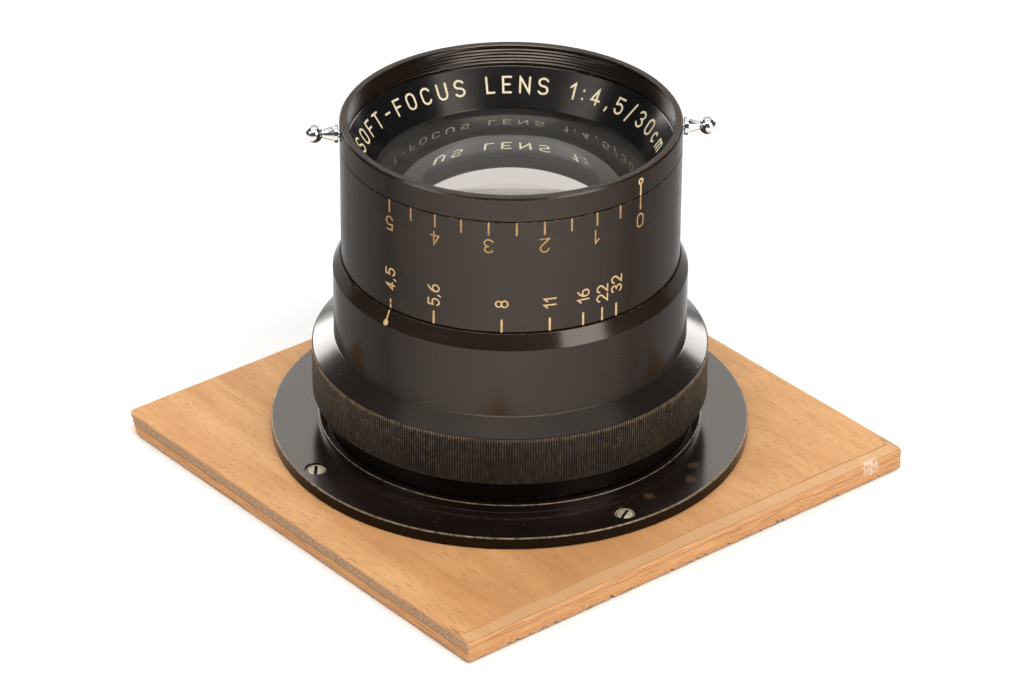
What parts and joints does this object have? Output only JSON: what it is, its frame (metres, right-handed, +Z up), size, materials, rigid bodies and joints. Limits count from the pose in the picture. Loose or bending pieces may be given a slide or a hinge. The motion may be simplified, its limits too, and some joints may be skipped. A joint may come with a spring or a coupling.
{
  "type": "soft-focus portrait lens on lens board",
  "caption": "Large-format soft-focus portrait lens on a square plywood lens board, with a knurled aperture ring, iris, scale sleeve and softness ring with two ball handles.",
  "frame": {"origin": "centre of the lens board's underside, which is the bottom centre of the whole object's box", "axes": "+Z up along the lens axis towards the front glass; the board's sides run along X and Y; the pictured left-front side faces -Y and its right-front side faces +X; the lens axis stands at x = -3.57 mm, y = +1.67 mm"},
  "size_m": [0.1508, 0.1538, 0.1011],
  "materials": {
    "plywood": "sanded birch plywood with open end grain",
    "black_lacquer": "worn satin-gloss black lacquer",
    "bronze_black": "black lacquer rubbed bronze on the knurling",
    "black_gloss": "glossy blue-black enamel",
    "black_matte": "matt black",
    "brass": "turned brass",
    "chrome": "polished",
    "nickel": "aged nickel plate",
    "blue_steel": "blued spring steel",
    "glass": "polished optical glass"
  },
  "bodies": {
    "lens_body": {"lens_board": "plywood", "mounting_flange": "black_lacquer", "flange_screw_1": "nickel", "flange_screw_2": "nickel", "flange_screw_3": "nickel", "flange_screw_4": "nickel", "main_barrel": "black_lacquer", "scale_sleeve": "black_lacquer", "name_ring": "black_gloss", "front_cell": "black_matte", "front_crown_element": "glass", "front_flint_element": "glass", "rear_cell": "black_matte", "rear_retaining_ring": "black_matte", "rear_flint_element": "glass", "rear_crown_element": "glass", "iris_seat_ring": "brass"},
    "aperture_control": {"aperture_ring": "bronze_black", "aperture_drive_pin_1": "brass", "aperture_drive_pin_2": "brass", "iris_cam_ring": "brass"},
    "softness_control": {"softness_ring": "black_lacquer", "ball_handle_left": "chrome", "ball_handle_right": "chrome", "softness_cam_tube": "brass"},
    "middle_group": {"middle_cell": "brass", "middle_element": "glass", "middle_retaining_ring": "black_matte", "guide_pin_1": "nickel", "guide_pin_2": "nickel", "guide_pin_3": "nickel"},
    "leaf_01": {"iris_leaf_01": "blue_steel"},
    "leaf_02": {"iris_leaf_02": "blue_steel"},
    "leaf_03": {"iris_leaf_03": "blue_steel"},
    "leaf_04": {"iris_leaf_04": "blue_steel"},
    "leaf_05": {"iris_leaf_05": "blue_steel"},
    "leaf_06": {"iris_leaf_06": "blue_steel"},
    "leaf_07": {"iris_leaf_07": "blue_steel"},
    "leaf_08": {"iris_leaf_08": "blue_steel"},
    "leaf_09": {"iris_leaf_09": "blue_steel"},
    "leaf_10": {"iris_leaf_10": "blue_steel"},
    "leaf_11": {"iris_leaf_11": "blue_steel"},
    "leaf_12": {"iris_leaf_12": "blue_steel"}
  },
  "joints": [
    {"name": "aperture_turn", "type": "hinge", "parent": "lens_body", "child": "aperture_control", "pos_m": [-0.00357, 0.00167, 0.04], "axis": [0, 0, 1], "range_deg": [0, 81.1]},
    {"name": "softness_turn", "type": "hinge", "parent": "lens_body", "child": "softness_control", "pos_m": [-0.00357, 0.00167, 0.097], "axis": [0, 0, 1], "range_deg": [-91.5, 0]},
    {"name": "middle_group_slide", "type": "slide", "parent": "lens_body", "child": "middle_group", "axis": [0, 0, 1], "range_m": [0, 0.005]},
    {"name": "leaf_01_pivot", "type": "hinge", "parent": "lens_body", "child": "leaf_01", "pos_m": [0.03693, 0.00167, 0.0459], "axis": [0, 0, 1], "range_deg": [0, 36.5]},
    {"name": "leaf_02_pivot", "type": "hinge", "parent": "lens_body", "child": "leaf_02", "pos_m": [0.0315, 0.02192, 0.0459], "axis": [0, 0, 1], "range_deg": [0, 36.5]},
    {"name": "leaf_03_pivot", "type": "hinge", "parent": "lens_body", "child": "leaf_03", "pos_m": [0.01668, 0.03674, 0.0459], "axis": [0, 0, 1], "range_deg": [0, 36.5]},
    {"name": "leaf_04_pivot", "type": "hinge", "parent": "lens_body", "child": "leaf_04", "pos_m": [-0.00357, 0.04217, 0.0459], "axis": [0, 0, 1], "range_deg": [0, 36.5]},
    {"name": "leaf_05_pivot", "type": "hinge", "parent": "lens_body", "child": "leaf_05", "pos_m": [-0.02382, 0.03674, 0.0459], "axis": [0, 0, 1], "range_deg": [0, 36.5]},
    {"name": "leaf_06_pivot", "type": "hinge", "parent": "lens_body", "child": "leaf_06", "pos_m": [-0.03864, 0.02192, 0.0459], "axis": [0, 0, 1], "range_deg": [0, 36.5]},
    {"name": "leaf_07_pivot", "type": "hinge", "parent": "lens_body", "child": "leaf_07", "pos_m": [-0.04407, 0.00167, 0.0459], "axis": [0, 0, 1], "range_deg": [0, 36.5]},
    {"name": "leaf_08_pivot", "type": "hinge", "parent": "lens_body", "child": "leaf_08", "pos_m": [-0.03864, -0.01858, 0.0459], "axis": [0, 0, 1], "range_deg": [0, 36.5]},
    {"name": "leaf_09_pivot", "type": "hinge", "parent": "lens_body", "child": "leaf_09", "pos_m": [-0.02382, -0.0334, 0.0459], "axis": [0, 0, 1], "range_deg": [0, 36.5]},
    {"name": "leaf_10_pivot", "type": "hinge", "parent": "lens_body", "child": "leaf_10", "pos_m": [-0.00357, -0.03883, 0.0459], "axis": [0, 0, 1], "range_deg": [0, 36.5]},
    {"name": "leaf_11_pivot", "type": "hinge", "parent": "lens_body", "child": "leaf_11", "pos_m": [0.01668, -0.0334, 0.0459], "axis": [0, 0, 1], "range_deg": [0, 36.5]},
    {"name": "leaf_12_pivot", "type": "hinge", "parent": "lens_body", "child": "leaf_12", "pos_m": [0.0315, -0.01858, 0.0459], "axis": [0, 0, 1], "range_deg": [0, 36.5]}
  ],
  "couplings": [
    {"joint": "middle_group_slide", "follows": "softness_turn", "m_per_rad": -0.0031309},
    {"joint": "leaf_01_pivot", "follows": "aperture_turn", "ratio": 0.44969},
    {"joint": "leaf_02_pivot", "follows": "aperture_turn", "ratio": 0.44969},
    {"joint": "leaf_03_pivot", "follows": "aperture_turn", "ratio": 0.44969},
    {"joint": "leaf_04_pivot", "follows": "aperture_turn", "ratio": 0.44969},
    {"joint": "leaf_05_pivot", "follows": "aperture_turn", "ratio": 0.44969},
    {"joint": "leaf_06_pivot", "follows": "aperture_turn", "ratio": 0.44969},
    {"joint": "leaf_07_pivot", "follows": "aperture_turn", "ratio": 0.44969},
    {"joint": "leaf_08_pivot", "follows": "aperture_turn", "ratio": 0.44969},
    {"joint": "leaf_09_pivot", "follows": "aperture_turn", "ratio": 0.44969},
    {"joint": "leaf_10_pivot", "follows": "aperture_turn", "ratio": 0.44969},
    {"joint": "leaf_11_pivot", "follows": "aperture_turn", "ratio": 0.44969},
    {"joint": "leaf_12_pivot", "follows": "aperture_turn", "ratio": 0.44969}
  ]
}
